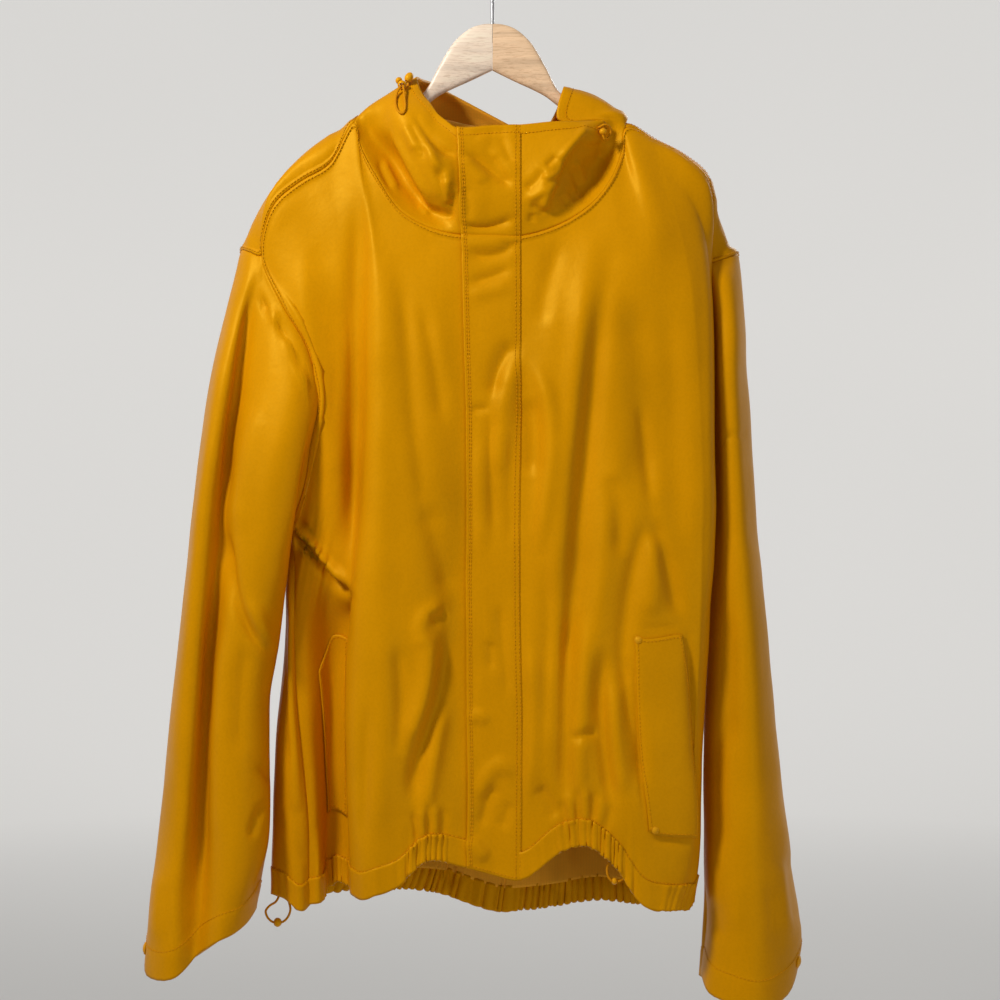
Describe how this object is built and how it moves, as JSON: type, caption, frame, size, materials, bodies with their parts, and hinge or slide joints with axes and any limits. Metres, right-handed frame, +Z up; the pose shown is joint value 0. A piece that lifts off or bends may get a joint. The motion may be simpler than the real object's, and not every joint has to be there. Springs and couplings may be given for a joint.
{
  "type": "hooded raincoat on a hanger",
  "caption": "Hip-length hooded raincoat of coated cloth with long sleeves, storm flap, pocket flaps and drawcords, hanging on a wooden hanger with a wire hook.",
  "frame": {"origin": "where the hook rests on a rail: the underside of the top of the hook's ring, on its middle line", "axes": "+Z is up, the front of the coat faces -Y, +X is the wearer's left"},
  "size_m": [0.6238, 0.1826, 1.0174],
  "materials": {
    "coated_cloth": "woven cloth with a smooth, slightly shiny waterproof coating, mustard yellow",
    "cord": "round braided cord, orange",
    "plastic": "moulded plastic, orange",
    "stud": "lacquered press-stud cap, mustard yellow",
    "wood": "light wood, satin varnish",
    "steel": "plain steel wire, worn satin"
  },
  "bodies": {
    "root": {"front_right": "coated_cloth", "front_left": "coated_cloth", "back": "coated_cloth", "sleeve_right": "coated_cloth", "sleeve_left": "coated_cloth", "hood_right": "coated_cloth", "hood_left": "coated_cloth", "storm_flap": "coated_cloth", "pocket_flap_right": "coated_cloth", "pocket_flap_left": "coated_cloth", "pocket_stud_top": "stud", "pocket_stud_low": "stud", "cuff_stud_right": "stud", "cuff_stud_left": "stud", "hood_cord_right": "cord", "hood_cord_left": "cord", "hem_cord_right": "cord", "hem_cord_left": "cord", "hood_bead_right_a": "plastic", "hood_bead_right_b": "plastic", "hood_lock_right": "plastic", "hood_bead_left": "plastic", "hem_bead_right": "plastic", "hem_bead_left": "plastic", "hanger_arm_right": "wood", "hanger_arm_left": "wood", "hanger_hook": "steel"}
  },
  "joints": []
}
